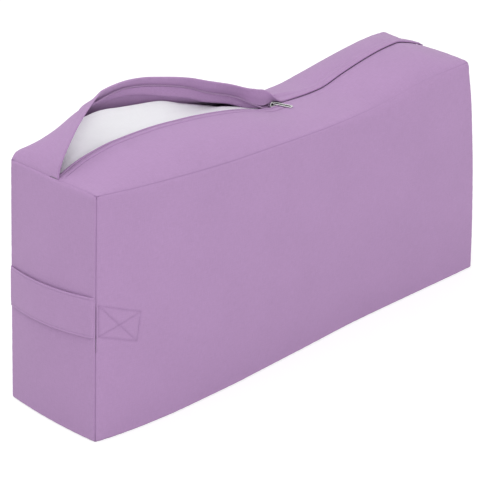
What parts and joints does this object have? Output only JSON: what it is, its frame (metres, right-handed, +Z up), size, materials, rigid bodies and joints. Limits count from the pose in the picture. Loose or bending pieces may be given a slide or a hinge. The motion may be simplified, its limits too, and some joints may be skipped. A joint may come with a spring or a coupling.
{
  "type": "rectangular yoga bolster",
  "caption": "Rectangular yoga bolster with a zipped lilac cover, carrying straps on its ends and a white inner cushion showing through the half-open zip.",
  "frame": {"origin": "centre of the bounding box on the floor, under the middle of the bolster", "axes": "+X along the length towards the closed end of the zip, -Y out of the broad front panel, +Z up from the long narrow side that it stands on to the zip"},
  "size_m": [0.6988, 0.1916, 0.3759],
  "materials": {
    "lilac_cloth": "plain-woven matte cotton",
    "lilac_tape": "woven tape",
    "lilac_coil": "dyed nylon coil",
    "nickel": "satin nickel plating",
    "white_cotton": "plain white cotton",
    "batting": "soft fibre batting",
    "foam": "open-cell foam"
  },
  "bodies": {
    "cover": {"cover_front_panel": "lilac_cloth", "cover_back_panel": "lilac_cloth", "cover_left_end": "lilac_cloth", "cover_right_end": "lilac_cloth", "cover_base_strip": "lilac_cloth", "cover_top_front": "lilac_cloth", "zip_tape_front": "lilac_tape", "zip_coil_front": "lilac_coil", "zip_top_stop_front": "nickel", "zip_top_stop_back": "nickel", "zip_bottom_stop": "nickel", "liner_front_panel": "white_cotton", "liner_back_panel": "white_cotton", "liner_left_end": "white_cotton", "liner_right_end": "white_cotton", "liner_base_strip": "white_cotton", "liner_top_strip": "white_cotton", "batting_wrap": "batting", "batting_end_left": "batting", "batting_end_right": "batting", "foam_core": "foam"},
    "flap": {"cover_top_back": "lilac_cloth", "zip_tape_back": "lilac_tape", "zip_coil_back": "lilac_coil"},
    "slider": {"zip_slider": "nickel"},
    "tab": {"pull_tab": "nickel"},
    "strap_left": {"handle_left": "lilac_cloth"},
    "strap_right": {"handle_right": "lilac_cloth"}
  },
  "joints": [
    {"name": "slider_travel", "type": "slide", "parent": "cover", "child": "slider", "axis": [1, 0, 0], "range_m": [-0.338, 0.275], "deforming": ["cover_top_front", "zip_tape_front", "zip_coil_front", "liner_top_strip", "batting_wrap"]},
    {"name": "flap_open", "type": "hinge", "parent": "cover", "child": "flap", "pos_m": [0, 0.08, 0.296], "axis": [-1, 0, 0], "range_deg": [-36, 30], "deforming": ["cover_top_back", "zip_tape_back", "zip_coil_back"]},
    {"name": "tab_swing", "type": "hinge", "parent": "slider", "child": "tab", "pos_m": [0.03117, 0, 0.30133], "axis": [0, 0, 1], "range_deg": [-40, 10]},
    {"name": "strap_left_pull", "type": "slide", "parent": "cover", "child": "strap_left", "axis": [-1, 0, 0], "range_m": [0, 0.02], "deforming": ["handle_left"]},
    {"name": "strap_right_pull", "type": "slide", "parent": "cover", "child": "strap_right", "axis": [1, 0, 0], "range_m": [0, 0.02], "deforming": ["handle_right"]}
  ],
  "couplings": [
    {"joint": "flap_open", "follows": "slider_travel", "rad_per_m": 1.8}
  ]
}
